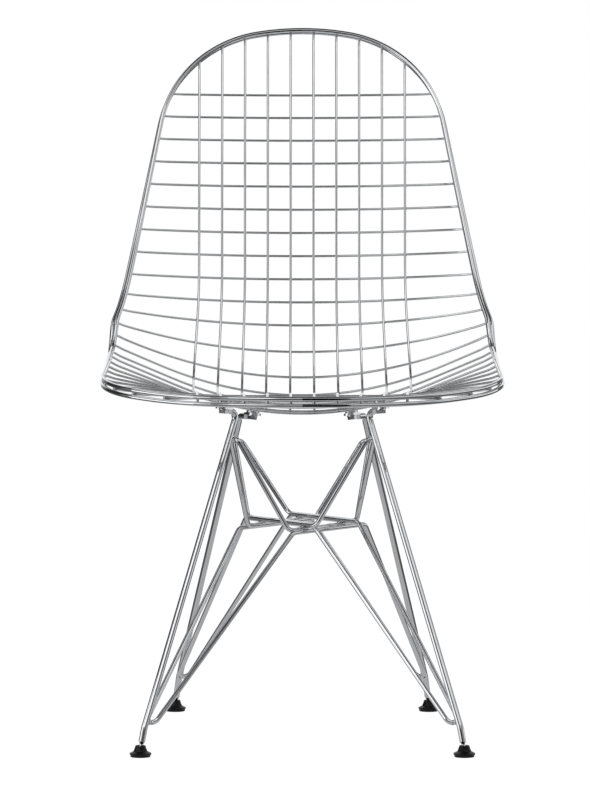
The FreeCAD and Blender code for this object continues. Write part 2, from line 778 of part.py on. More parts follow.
def brace_loops():
    """The four loops by name."""
    rod_size = size("brace_diameter")
    pitch = rod_size + size("brace_gap")
    second_layer = rod_size - size("weld_sink")
    outer_drop = size("outer_brace_drop")
    outer_offset = math.sqrt(pitch**2 - outer_drop**2)
    over = size("upper_brace_overrun")
    upper_right = run_line(0, 0, over, over, False)
    upper_left = run_line(0, second_layer, over, over, True)
    lower_right = run_line(
        -pitch, 0, size("inner_brace_overrun"), size("inner_brace_side_run"), False
    )
    lower_left = run_line(
        outer_offset,
        second_layer + outer_drop,
        size("outer_brace_overrun"),
        size("outer_brace_side_run"),
        True,
    )
    front_right = CORNERS["front_right"]
    front_left = CORNERS["front_left"]
    rear_right = CORNERS["rear_right"]
    rear_left = CORNERS["rear_left"]
    drop = size("upper_brace_drop")

    def upper(front, rear):
        return front.knee.z - drop, rear.knee.z - drop

    def lower(front, rear):
        return front.brace_height, rear.brace_height

    return {
        "brace_upper_a": (front_left, rear_right, upper(front_left, rear_right), upper_right),
        "brace_upper_b": (front_right, rear_left, upper(front_right, rear_left), upper_left),
        "brace_lower_a": (front_left, rear_right, lower(front_left, rear_right), lower_right),
        "brace_lower_b": (front_right, rear_left, lower(front_right, rear_left), lower_left),
    }


for name, loop in brace_loops().items():
    feature(name, brace_loop(*loop))


# Fasteners, drawn upright at the origin and then set on each corner's bolt axis.


def bound(kind, name, **formulas):
    """A primitive whose sizes follow the sheet."""
    item = doc.addObject(kind, name)
    for key, formula in formulas.items():
        item.setExpression(key, formula)
    return item


def bosses(corner):
    """The threaded boss welded under the mesh, blind from above."""
    body = bound(
        "Part::Cylinder",
        f"boss_body_{corner.name}",
        Radius="Sizes.boss_diameter / 2",
        Height=f"Sizes.{corner.boss_size}",
    )
    bore = bound(
        "Part::Cylinder",
        f"boss_bore_{corner.name}",
        Radius="Sizes.bolt_diameter / 2 + Sizes.thread_clearance",
        Height="Sizes.bolt_reach + Sizes.bolt_clearance",
    )
    boss = doc.addObject("Part::Cut", f"boss_{corner.name}")
    boss.Base = body
    boss.Tool = bore
    return boss


def washers(corner):
    """The washer between the pad and the bolt head."""
    disc = bound(
        "Part::Cylinder",
        f"washer_disc_{corner.name}",
        Radius="Sizes.washer_diameter / 2",
        Height="Sizes.washer_thickness",
    )
    bore = bound(
        "Part::Cylinder",
        f"washer_bore_{corner.name}",
        Radius="Sizes.bolt_diameter / 2 + Sizes.bolt_clearance",
        Height="Sizes.washer_thickness",
    )
    washer = doc.addObject("Part::Cut", f"washer_{corner.name}")
    washer.Base = disc
    washer.Tool = bore
    return washer


def bolts(corner):
    """A hexagon bolt, head down, with its bevelled face and its shank."""
    head = bound(
        "Part::Prism",
        f"bolt_head_{corner.name}",
        Circumradius="Sizes.bolt_head_flats / 2 / cos(30)",
        Height="Sizes.bolt_head_height",
    )
    head.Polygon = 6
    bevel = bound(
        "Part::Cone",
        f"bolt_bevel_{corner.name}",
        Radius1="Sizes.bolt_head_flats / 2",
        Radius2="Sizes.bolt_head_flats / 2 + Sizes.bolt_head_height * Sizes.bolt_bevel_slope",
        Height="Sizes.bolt_head_height",
    )
    face = doc.addObject("Part::Common", f"bolt_face_{corner.name}")
    face.Base = head
    face.Tool = bevel
    shank = bound(
        "Part::Cylinder",
        f"bolt_shank_{corner.name}",
        Radius="Sizes.bolt_diameter / 2",
        Height="Sizes.bolt_head_height + Sizes.washer_thickness + Sizes.pad_thickness"
        " + Sizes.bolt_reach",
    )
    bolt = doc.addObject("Part::Fuse", f"bolt_{corner.name}")
    bolt.Base = face
    bolt.Tool = shank
    return bolt


def fastener_group(name, maker, depth):
    """One node with a fastener on each corner, its lower face at a depth below the pad top."""
    group = doc.addObject("Part::Compound", name)
    group.Label = name
    members = []
    for corner in CORNERS.values():
        item = maker(corner)
        base = corner.pad_top - corner.up * depth
        turn = Rotation(corner.pad_way, corner.up.cross(corner.pad_way), corner.up, "ZXY")
        item.Placement = Placement(base, turn)
        members.append(item)
    group.Links = members
    return group


WASHER_DEPTH = size("pad_thickness") + size("washer_thickness")
fastener_group("mounting_bosses", bosses, 0.0)
fastener_group("bolt_washers", washers, WASHER_DEPTH)
fastener_group("hex_bolts", bolts, WASHER_DEPTH + size("bolt_head_height"))


# The glides: turned feet that hold the ball ends and tilt on them.

GLIDE_OUTLINE = [
    ("glide_sole_radius", None),
    ("glide_wall_radius", "glide_wall_height"),
    ("glide_brim_radius", "glide_brim_height"),
    ("glide_brim_radius", "glide_brim_top"),
    ("glide_waist_radius", "glide_waist_height"),
    ("glide_neck_radius", "glide_neck_height"),
    ("glide_collar_radius", "glide_height"),
]


def plane_of(body, role):
    """One of a body's own origin planes."""
    return next(item for item in body.Origin.OriginFeatures if item.Role == role)


def turned_sketch(body, name, corners):
    """A closed outline beside the vertical axis; each corner is (x formula, y formula)."""
    sketch = body.newObject("Sketcher::SketchObject", name)
    sketch.AttachmentSupport = [(plane_of(body, "XZ_Plane"), "")]
    sketch.MapMode = "FlatFace"
    count = len(corners)
    for index in range(count):
        start = Vector(index + 1.0, index * index + 1.0, 0)
        end = Vector(index + 2.0, (index + 1) * (index + 1) + 1.0, 0)
        sketch.addGeometry(Part.LineSegment(start, end))
    for index in range(count):
        sketch.addConstraint(Sketcher.Constraint("Coincident", index, 2, (index + 1) % count, 1))
    for index, formulas in enumerate(corners):
        for axis, formula in zip(("DistanceX", "DistanceY"), formulas):
            if formula is None:
                kind = 2 if axis == "DistanceX" else 1
                sketch.addConstraint(Sketcher.Constraint("PointOnObject", index, 1, -kind))
                continue
            row = sketch.addConstraint(Sketcher.Constraint(axis, -1, 1, index, 1, 1.0))
            sketch.setExpression(f"Constraints[{row}]", formula)
    return sketch


def turned(body, kind, name, sketch):
    """A full turn of a sketch about the vertical axis."""
    item = body.newObject(kind, name)
    item.Profile = sketch
    item.ReferenceAxis = (sketch, ["V_Axis"])
    item.Angle = 360.0
    return item


def glide(corner):
    """One glide with its socket and the flared recess above it."""
    name = f"glide_{corner.name}"
    body = doc.addObject("PartDesign::Body", name)
    body.Label = name
    outline = [(None, None)]
    for radius, height in GLIDE_OUTLINE:
        outline.append((f"Sizes.{radius}", f"Sizes.{height}" if height else None))
    outline.append((None, "Sizes.glide_height"))
    drawing = turned_sketch(body, f"{name}_outline", outline)
    turned(body, "PartDesign::Revolution", f"{name}_form", drawing)
    flare = [
        (None, "Sizes.ball_height"),
        ("Sizes.glide_mouth_radius", "Sizes.ball_height"),
        ("Sizes.glide_flare_radius", "Sizes.glide_height"),
        (None, "Sizes.glide_height"),
    ]
    turned(body, "PartDesign::Groove", f"{name}_flare", turned_sketch(body, f"{name}_recess", flare))
    socket = body.newObject("PartDesign::SubtractiveSphere", f"{name}_socket")
    socket.setExpression("Radius", "Sizes.ball_diameter / 2 + Sizes.ball_clearance")
    socket.AttachmentOffset = Placement()
    socket.setExpression("Placement.Base.z", "Sizes.ball_height")
    body.Placement = Placement(level(corner.ball), Rotation())
    return body


for corner in CORNERS.values():
    glide(corner)

doc.recompute()


# Every object is checked before any file is written.


def nodes():
    """The objects that become files: labelled pieces that no other object uses."""
    kinds = ("Part::Feature", "Part::Compound", "PartDesign::Body")
    return [item for item in doc.Objects if item.TypeId in kinds]


for item in doc.Objects:
    if "Invalid" in item.State or "Error" in item.State:
        raise RuntimeError(f"{item.Name} failed: {item.State}")
for item in nodes():
    if item.Shape.isNull() or not item.Shape.isValid() or not item.Shape.Solids:
        raise RuntimeError(f"{item.Label} has no valid solid")
for item in nodes():
    item.Shape.exportStep(f"parts/{item.Label}.step")
print(f"{len(nodes())} files, shell run {SHELL_RUN:.1f}")
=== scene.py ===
"""Dresses the wire mesh chair: plated finishes, weld beads, black glides and a white studio."""

import logging
import math
from dataclasses import dataclass
from enum import Enum

import bpy
import numpy as np
from mathutils.bvhtree import BVHTree
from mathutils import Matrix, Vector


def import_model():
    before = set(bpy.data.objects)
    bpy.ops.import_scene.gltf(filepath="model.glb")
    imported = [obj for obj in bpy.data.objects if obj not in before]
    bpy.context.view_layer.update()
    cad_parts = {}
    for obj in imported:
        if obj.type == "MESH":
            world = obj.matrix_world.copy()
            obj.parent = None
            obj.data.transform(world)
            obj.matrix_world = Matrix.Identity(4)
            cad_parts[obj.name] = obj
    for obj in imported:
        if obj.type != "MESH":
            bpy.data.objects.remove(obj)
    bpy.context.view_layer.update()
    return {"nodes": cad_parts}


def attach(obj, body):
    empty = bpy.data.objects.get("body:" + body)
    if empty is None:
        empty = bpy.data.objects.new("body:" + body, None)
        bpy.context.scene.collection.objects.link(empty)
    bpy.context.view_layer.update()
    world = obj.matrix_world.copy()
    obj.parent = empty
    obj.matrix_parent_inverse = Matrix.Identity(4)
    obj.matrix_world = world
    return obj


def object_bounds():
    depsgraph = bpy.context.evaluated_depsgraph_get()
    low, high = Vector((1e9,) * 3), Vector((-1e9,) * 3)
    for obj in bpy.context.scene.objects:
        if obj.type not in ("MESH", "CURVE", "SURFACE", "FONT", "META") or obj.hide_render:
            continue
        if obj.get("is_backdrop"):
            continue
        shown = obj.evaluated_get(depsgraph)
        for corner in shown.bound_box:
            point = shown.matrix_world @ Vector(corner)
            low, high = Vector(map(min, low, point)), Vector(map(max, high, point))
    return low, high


LOG = logging.getLogger("wire_chair")
MM = 0.001
WHITE = (1.0, 1.0, 1.0, 1.0)

Array = np.ndarray
Pair = tuple[float, float]
Triple = tuple[float, float, float]
Color = tuple[float, float, float, float]


class Slot(Enum):
    """The record's material slots."""

    MESH_WIRE = "mesh_wire"
    RIM_WIRE = "rim_wire"
    BASE_ROD = "base_rod"
    HARDWARE = "hardware"
    GLIDE = "glide"


class Body(Enum):
    """The rigid bodies that a piece can ride on."""

    CHAIR = "chair"


class Ray(Enum):
    """Kinds of ray that the Light Path node tells apart."""

    CAMERA = "Is Camera Ray"
    GLOSSY = "Is Glossy Ray"
    TRANSMISSION = "Is Transmission Ray"


def unit_rows(vectors: Array) -> Array:
    """Scales each row to length one.

    Args:
        vectors: Rows of three numbers.

    Returns:
        Rows of the same directions with length one.
    """
    return vectors / np.linalg.norm(vectors, axis=-1, keepdims=True)


# The shape of the shell, as the solids were drawn.


@dataclass(frozen=True)
class Bent:
    """A chain of arcs and straight runs that meet without a kink.

    Each piece is (length, turn in radians). The chain starts at the origin with the
    given heading, and each piece adds its chord, which is 2 * length / turn * sin(turn / 2)
    long and points halfway between the headings at its ends.
    """

    pieces: tuple[Pair, ...]
    heading: float = 0.0

    def place(self, distance: Array) -> tuple[Array, Array]:
        """The two coordinates at distances along the chain.

        Args:
            distance: Distances from the start.

        Returns:
            The coordinate along a heading of zero, and the one across it.
        """
        distance = np.asarray(distance, float)
        along = np.zeros_like(distance)
        across = np.zeros_like(distance)
        heading = self.heading
        start = 0.0
        for index, (length, turn) in enumerate(self.pieces):
            last = index == len(self.pieces) - 1
            part = np.clip(distance - start, 0.0, None if last else length)
            half = turn * part / length / 2
            chord = part * np.sinc(half / math.pi)
            along += chord * np.cos(heading + half)
            across += chord * np.sin(heading + half)
            heading += turn
            start += length
        return along, across

    def length(self) -> float:
        """The whole length of the chain."""
        return sum(length for length, _ in self.pieces)


@dataclass(frozen=True)
class Flow:
    """A smooth curve through stops (run, value), held level outside them."""

    stops: tuple[Pair, ...]

    def at(self, run: Array) -> Array:
        """The value at each run.

        Between two stops it is the chord plus a bow for each end, which is the end's
        slope less the chord's, times share * (1 - share)^2. An end's slope is that of
        the parabola through the stop and its neighbours.

        Args:
            run: Distances down the shell.

        Returns:
            The values.
        """
        runs = np.array([stop[0] for stop in self.stops])
        values = np.array([stop[1] for stop in self.stops])
        gaps = np.diff(runs)
        chords = np.diff(values) / gaps
        inner = (chords[:-1] * gaps[1:] + chords[1:] * gaps[:-1]) / (gaps[:-1] + gaps[1:])
        slopes = np.concatenate([chords[:1], inner, chords[-1:]])
        run = np.clip(run, runs[0], runs[-1])
        index = np.clip(np.searchsorted(runs, run) - 1, 0, len(gaps) - 1)
        share = (run - runs[index]) / gaps[index]
        bow_low = (slopes[index] - chords[index]) * gaps[index] * share * (1 - share) ** 2
        bow_high = (slopes[index + 1] - chords[index]) * gaps[index] * share**2 * (share - 1)
        return values[index] + chords[index] * gaps[index] * share + bow_low + bow_high


def eased(run: Array, low: Pair, high: Pair) -> Array:
    """A value that eases from one stop to the next with level ends.

    Args:
        run: Distances down the shell.
        low: The first stop, (run, value).
        high: The second stop.

    Returns:
        The values, by the cubic step share^2 * (3 - 2 * share).
    """
    share = np.clip((np.asarray(run, float) - low[0]) / (high[0] - low[0]), 0.0, 1.0)
    return low[1] + (high[1] - low[1]) * share * share * (3 - 2 * share)


@dataclass(frozen=True)
class Shell:
    """The mesh's middle surface in millimetres and degrees, with the places of its wires.

    A place is named by its run, down the centre line from the top edge, and its side,
    the distance from that line. Leans are measured from straight down to the front.

    Attributes:
        top: The depth and height of the middle of the top edge.
        profile: The length of each arc down the centre line, and the lean at its end.
        top_edge: The radius of the top edge, and how far half of it turns.
        dish: Stops of the curvature from side to side, to the metre.
        flank: Stops of the side where that curve ends and goes on straight.
        rise: Stops of the direction in which the curve lifts, up from forward.
        bend_wires: Where the bend's pitch starts and stops, in cross wires from 0.
        seat_wires: The same for the pitch of the seat's first wires.
        lane_stops: Stops of the spacing of the long wires.
    """

    top: Pair = (250.1, 834.9)
    top_lean: float = 23.1
    profile: tuple[Pair, ...] = (
        (228.9, 11.0),
        (141.6, 15.8),
        (49.9, 25.7),
        (59.8, 72.2),
        (100.0, 105.4),
        (165.0, 98.1),
    )
    front_lean: float = 81.3
    top_edge: Pair = (317.0, 10.2)
    shoulder_radius: float = 145.4
    back_flare: float = 11.06
    back_side: float = 262.4
    hip_radius: float = 210.0
    seat_flare: float = 2.48
    seat_side: float = 251.9
    corner_radius: float = 115.0
    front_radius: float = 300.0
    dish: tuple[Pair, ...] = (
        (0.0, 0.54),
        (160.0, 1.27),
        (320.0, 2.5),
        (420.0, 3.23),
        (520.0, 2.94),
        (640.0, 1.32),
    )
    dish_front: float = -0.68
    flank: tuple[Pair, Pair] = ((330.0, 324.5), (500.0, 153.3))
    rise: tuple[Pair, Pair] = ((303.5, 11.6), (618.0, 95.8))
    cross_count: int = 25
    first_cross: float = 82.6
    cross_pitch: float = 28.6
    bend_pitch: float = 33.2
    bend_wires: tuple[int, int] = (11, 13)
    seat_pitch: float = 29.4
    seat_wires: tuple[int, int] = (13, 15)
    long_count: int = 10
    lane_stops: tuple[Pair, Pair] = ((300.0, 28.0), (480.0, 29.4))
    lane_front: float = 27.4
    slope_step: float = 0.02
    outline_samples: int = 4001
    lane_samples: int = 6001

    def outline(self) -> Bent:
        """The half outline laid flat, from the middle of the top edge.

        Returns:
            The chain of the top edge, shoulder, back, hip, seat, corner and front edge.
        """
        top_radius, top_turn = self.top_edge[0], math.radians(self.top_edge[1])
        flare = math.radians(self.back_flare)
        seat_flare = math.radians(self.seat_flare)
        shoulder_turn = math.pi / 2 - flare - top_turn
        rear = (
            (top_radius * top_turn, top_turn),
            (self.shoulder_radius * shoulder_turn, shoulder_turn),
            (self.back_side, 0.0),
            (self.hip_radius * (flare - seat_flare), flare - seat_flare),
            (self.seat_side, 0.0),
        )
        chain = Bent(rear)
        side = float(chain.place(chain.length())[0]) - self.corner_radius * math.cos(seat_flare)
        edge_turn = math.asin(side / (self.front_radius - self.corner_radius))
        corner_turn = math.pi / 2 + seat_flare - edge_turn
        front = (
            (self.corner_radius * corner_turn, corner_turn),
            (self.front_radius * edge_turn, edge_turn),
        )
        return Bent(rear + front)

    def length(self) -> float:
        """The run of the front edge."""
        outline = self.outline()
        return float(outline.place(outline.length())[1])

    def half_width(self, run: Array) -> Array:
        """How far the outline is from the centre line at each run.

        Args:
            run: Distances down the centre line.

        Returns:
            The distances to the side, read between samples of the outline.
        """
        outline = self.outline()
        distance = np.linspace(0.0, outline.length(), self.outline_samples)
        side, down = outline.place(distance)
        return np.interp(run, down, side)

    def centre(self, run: Array) -> tuple[Array, Array]:
        """The depth and height of the centre line.

        Args:
            run: Distances down it.

        Returns:
            The depths, back being positive, and the heights.
        """
        lean = math.radians(self.top_lean)
        pieces = []
        start = lean
        for length, end in self.profile:
            pieces.append((length, math.radians(end) - start))
            start = math.radians(end)
        rest = self.length() - sum(length for length, _ in self.profile)
        pieces.append((rest, math.radians(self.front_lean) - start))
        down, forward = Bent(tuple(pieces), lean).place(np.maximum(run, 0.0))
        return self.top[0] - forward, self.top[1] - down

    def surface(self, run: Array, side: Array) -> Array:
        """Points of the middle surface.

        The centre line is lifted by curvature * side^2 / 2 inside the flanks and along
        the tangent past them, in a direction that turns from forward to upward.

        Args:
            run: Distances down the centre line.
            side: Distances from it, of the same shape.

        Returns:
            Points, with one more axis of three numbers.
        """
        run, side = np.broadcast_arrays(np.asarray(run, float), np.asarray(side, float))
        depth, height = self.centre(run)
        flank = eased(run, *self.flank)
        reach = np.minimum(np.abs(side), flank)
        bow = reach * reach / 2 + flank * (np.abs(side) - reach)
        dish = Flow(self.dish + ((self.length(), self.dish_front),)).at(run)
        lift = dish * MM * bow
        direction = np.radians(eased(run, *self.rise))
        return np.stack(
            [side, depth - lift * np.cos(direction), height + lift * np.sin(direction)], axis=-1
        )

    def axes(self, run: Array, side: Array) -> tuple[Array, Array, Array]:
        """Directions of the surface, from the points a small step away.

        Args:
            run: Distances down the centre line.
            side: Distances from it.

        Returns:
            Unit directions across, along and out of the surface, towards the sitter.
        """
        step = self.slope_step
        across = self.surface(run, side + step) - self.surface(run, side - step)
        along = self.surface(run + step, side) - self.surface(run - step, side)
        return unit_rows(across), unit_rows(along), unit_rows(np.cross(along, across))

    def cross_runs(self) -> Array:
        """The run of each cross wire; the pitch is wider at the bend and just past it."""
        pitches = np.full(self.cross_count, self.cross_pitch)
        pitches[0] = self.first_cross
        pitches[slice(*self.bend_wires)] = self.bend_pitch
        pitches[slice(*self.seat_wires)] = self.seat_pitch
        return np.cumsum(pitches)

    def lanes(self) -> Array:
        """The numbers of the long wires, counted from the middle."""
        return np.arange(self.long_count) - (self.long_count - 1) / 2

    def lane_side(self, lane: Array, run: Array) -> Array:
        """The side of long wires, whose spacing eases through three stops.

        Args:
            lane: Numbers of long wires, counted from the middle.
            run: Distances down the centre line.

        Returns:
            The distances from the centre line.
        """
        run = np.asarray(run, float)
        back, bend = self.lane_stops
        front = (self.length(), self.lane_front)
        spread = np.where(run < bend[0], eased(run, back, bend), eased(run, bend, front))
        return lane * spread

    def lane_ends(self, lane: float) -> Pair:
        """Where the outline crosses a long wire.

        Args:
            lane: The number of the long wire.

        Returns:
            The runs of its top and front end.
        """
        run = np.linspace(0.0, self.length(), self.lane_samples)
        inside = np.nonzero(np.abs(self.lane_side(lane, run)) < self.half_width(run))[0]
        return float(run[inside[0]]), float(run[inside[-1]])


# Meshes.


def mesh_object(name: str, points: Array, faces: Array) -> bpy.types.Object:
    """Makes a smooth mesh object at the origin.

    Args:
        name: The piece's name.
        points: Vertex positions in metres, one row each.
        faces: Corner numbers, one row of four each.

    Returns:
        The new object, linked to the scene.
    """
    mesh = bpy.data.meshes.new(name)
    mesh.from_pydata(points.tolist(), [], faces.tolist())
    mesh.validate()
    mesh.polygons.foreach_set("use_smooth", np.ones(len(mesh.polygons), bool))
    mesh.update()
    item = bpy.data.objects.new(name, mesh)
    bpy.context.scene.collection.objects.link(item)
    return item


def bead_grid(segments: int, rings: int) -> tuple[Array, Array]:
    """A unit ball made of four-sided faces only, also where they meet at the poles.

    Points are (cos u * sin v, sin u * sin v, cos v), u round the axis and v from pole to pole.

    Args:
        segments: Steps round the axis, an even number.
        rings: Rings between the poles.

    Returns:
        The points and the corner numbers of the faces.
    """
    turn = np.arange(segments) * 2 * math.pi / segments
    tilt = np.linspace(0.0, math.pi, rings + 2)[1:-1]
    ring = np.stack([np.cos(turn), np.sin(turn)], axis=-1)
    body = np.concatenate(
        [
            np.sin(tilt)[:, None, None] * ring[None],
            np.broadcast_to(np.cos(tilt)[:, None, None], (rings, segments, 1)),
        ],
        axis=-1,
    ).reshape(-1, 3)
    points = np.concatenate([body, [[0, 0, 1], [0, 0, -1]]])
    here = np.arange(segments)
    after = (here + 1) % segments
    faces = []
    for row in range(rings - 1):
        low, high = row * segments, (row + 1) * segments
        faces.append(np.stack([low + here, high + here, high + after, low + after], axis=-1))
    top, bottom = len(points) - 2, len(points) - 1
    last = (rings - 1) * segments
    even, odd, far = here[0::2], here[1::2], (here[1::2] + 1) % segments
    faces.append(np.stack([np.full_like(even, top), even, odd, far], axis=-1))
    faces.append(
        np.stack([np.full_like(even, bottom), last + far, last + odd, last + even], axis=-1)
    )
    return points, np.concatenate(faces)


def bead_cloud(
    name: str,
    centres: Array,
    axes: tuple[Array, Array, Array],
    radii: Triple,
    grid: tuple[int, int] = (8, 4),
) -> bpy.types.Object:
    """One object with a stretched bead at each place.

    Args:
        name: The piece's name.
        centres: Bead centres in millimetres, one row each.
        axes: For each bead, three unit directions, one row each.
        radii: Half the bead's size along each direction, in millimetres.
        grid: Steps round each bead, and rings between its poles.

    Returns:
        The new object.
    """
    ball, faces = bead_grid(*grid)
    scaled = ball * np.asarray(radii)
    turned = sum(scaled[None, :, index, None] * axes[index][:, None, :] for index in range(3))
    points = (centres[:, None, :] + turned).reshape(-1, 3) * MM
    offsets = np.arange(len(centres)) * len(ball)
    corners = (offsets[:, None, None] + faces[None]).reshape(-1, 4)
    return mesh_object(name, points, corners)


Made = list[tuple[bpy.types.Object, Slot]]


def on_chair(made: Made) -> Made:
    """Makes pieces ride on the chair.

    Args:
        made: The pieces with their slots.

    Returns:
        The same pieces and slots.
    """
    for piece, slot in made:
        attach(piece, Body.CHAIR.value)
    return made


@dataclass(frozen=True)
class MeshWelds:
    """The resistance welds of the shell: one at each crossing and each wire end.

    Attributes:
        shell: The surface that the wires follow.
        crossing_size: Half the size of a weld across, along and out of the surface.
        end_size: Half the size of a weld along the rim, across it and out of the surface.
        slope_span: How far each way the outline's slope is measured.
        steep_slope: The slope, side over run, where the outline is steeper than the
            samples can tell.
    """

    shell: Shell
    crossing_size: Triple = (1.95, 1.95, 0.95)
    end_size: Triple = (2.3, 1.5, 1.9)
    slope_span: float = 1.0
    steep_slope: float = 40.0

    def crossings(self) -> bpy.types.Object:
        """Flattened beads where a long wire lies on a cross wire.

        Returns:
            One object with all the beads.
        """
        shell = self.shell
        places = []
        for lane in shell.lanes():
            top, front = shell.lane_ends(float(lane))
            runs = shell.cross_runs()
            runs = runs[(runs > top) & (runs < front)]
            places.append(np.stack([runs, shell.lane_side(lane, runs)], axis=-1))
        run, side = np.concatenate(places).T
        centres = shell.surface(run, side)
        return bead_cloud("crossing_welds", centres, shell.axes(run, side), self.crossing_size)

    def wire_ends(self) -> bpy.types.Object:
        """Beads where the wires end between the two rims, turned to follow the rims.

        Returns:
            One object with all the beads.
        """
        shell = self.shell
        runs = shell.cross_runs()
        width = shell.half_width(runs)
        ends = [np.stack([runs, width], axis=-1), np.stack([runs, -width], axis=-1)]
        for lane in shell.lanes():
            stops = np.array(shell.lane_ends(float(lane)))
            ends.append(np.stack([stops, shell.lane_side(lane, stops)], axis=-1))
        run, side = np.concatenate(ends).T
        span = self.slope_span
        slope = (shell.half_width(run + span) - shell.half_width(run - span)) / (2 * span)
        steep = np.abs(side) < shell.half_width(run) - span
        slope = np.where(steep, self.steep_slope, slope)
        across, along, out = shell.axes(run, side)
        rim_way = unit_rows(along + across * (np.sign(side) * slope)[:, None])
        return bead_cloud(
            "rim_welds",
            shell.surface(run, side),
            (rim_way, unit_rows(np.cross(rim_way, out)), out),
            self.end_size,
        )

    def build(self) -> Made:
        """Both kinds of weld with their slots, riding on the chair."""
        crossing, ends = self.crossings(), self.wire_ends()
        return on_chair([(crossing, Slot.MESH_WIRE), (ends, Slot.RIM_WIRE)])


@dataclass(frozen=True)
class Contacts:
    """Places where the surfaces of two nodes pass through each other.

    Attributes:
        centres: The middle of each place, in millimetres.
        along: The direction halfway between the two rods.
        out: The direction from the first rod to the second.
    """

    centres: Array
    along: Array
    out: Array

    @staticmethod
    def triangles(node: bpy.types.Object) -> Array:
        """A node's triangles.

        Args:
            node: The node's object.

        Returns:
            Three corners for each triangle, in millimetres.
        """
        mesh = node.data
        mesh.calc_loop_triangles()
        points = np.empty(len(mesh.vertices) * 3)
        mesh.vertices.foreach_get("co", points)
        corners = np.empty(len(mesh.loop_triangles) * 3, int)
        mesh.loop_triangles.foreach_get("vertices", corners)
        return points.reshape(-1, 3)[corners].reshape(-1, 3, 3) / MM

    @staticmethod
    def pierced(start: Array, end: Array, flat: Array, least: float = 1e-9) -> tuple[Array, Array]:
        """Where edges pass through triangles.

        Each row solves start + t * edge = corner + u * side + v * other side, and holds
        where t, u and v are not negative, t is at most one and so is u + v.

        Args:
            start: First ends of the edges.
            end: Second ends.
            flat: One triangle for each edge.
            least: An edge that lies as flat as this on its triangle doesn't pass through.

        Returns:
            The points, and which rows hold.
        """
        edge = end - start
        side, other = flat[:, 1] - flat[:, 0], flat[:, 2] - flat[:, 0]
        facing = np.cross(side, other)
        scale = -np.einsum("ij,ij->i", edge, facing)
        scale = np.where(np.abs(scale) < least, np.nan, scale)
        reach = start - flat[:, 0]
        turned = np.cross(reach, edge)
        part = np.einsum("ij,ij->i", reach, facing) / scale
        first = np.einsum("ij,ij->i", other, turned) / scale
        second = -np.einsum("ij,ij->i", side, turned) / scale
        holds = (part >= 0) & (part <= 1) & (first >= 0) & (second >= 0) & (first + second <= 1)
        return start + edge * part[:, None], holds

    @staticmethod
    def run_of(flats: Array, short_share: float = 0.6) -> Array:
        """The direction of a rod, which the longest edges of its triangles follow.

        Args:
            flats: The rod's triangles near a place.
            short_share: The share of the edges, the short ones, that is left out.

        Returns:
            The unit direction that lies nearest to all the long edges.
        """
        edges = (np.roll(flats, -1, axis=1) - flats).reshape(-1, 3)
        lengths = np.linalg.norm(edges, axis=1)
        long_edges = unit_rows(edges[lengths > np.quantile(lengths, short_share)])
        spread = long_edges.T @ long_edges
        return np.linalg.eigh(spread)[1][:, -1]

    @classmethod
    def between(
        cls, first: bpy.types.Object, second: bpy.types.Object, gather: float
    ) -> "Contacts":
        """Finds the places where two nodes touch.

        Args:
            first: One node.
            second: The other.
            gather: Points nearer than this belong to one place, in millimetres.

        Returns:
            The places, none if the nodes don't touch.
        """
        flats = [cls.triangles(node) for node in (first, second)]
        trees = [
            BVHTree.FromPolygons(
                flat.reshape(-1, 3).tolist(), np.arange(len(flat) * 3).reshape(-1, 3).tolist()
            )
            for flat in flats
        ]
        pairs = np.array(trees[0].overlap(trees[1]), int).reshape(-1, 2)
        if not len(pairs):
            return cls(*np.empty((3, 0, 3)))
        one, two = flats[0][pairs[:, 0]], flats[1][pairs[:, 1]]
        found, rows = [], []
        for edges, flat in ((one, two), (two, one)):
            for corner in range(3):
                points, holds = cls.pierced(edges[:, corner], edges[:, (corner + 1) % 3], flat)
                found.append(points[holds])
                rows.append(np.nonzero(holds)[0])
        points, row = np.concatenate(found), np.concatenate(rows)
        places: list[tuple[Array, Array, Array]] = []
        while len(points):
            near = np.linalg.norm(points - points[0], axis=1) < gather
            centre = points[near].mean(axis=0)
            near = np.linalg.norm(points - centre, axis=1) < gather
            here = np.unique(row[near])
            facing = np.cross(one[here, 1] - one[here, 0], one[here, 2] - one[here, 0])
            out = unit_rows(unit_rows(facing).mean(axis=0))
            runs = [cls.run_of(flat[here]) for flat in (one, two)]
            turn = 1.0 if runs[0] @ runs[1] > 0 else -1.0
            along = runs[0] + turn * runs[1]
            along = unit_rows(along - out * (along @ out))
            places.append((points[near].mean(axis=0), along, out))
            points, row = points[~near], row[~near]
        return cls(*(np.array(column) for column in zip(*places)))


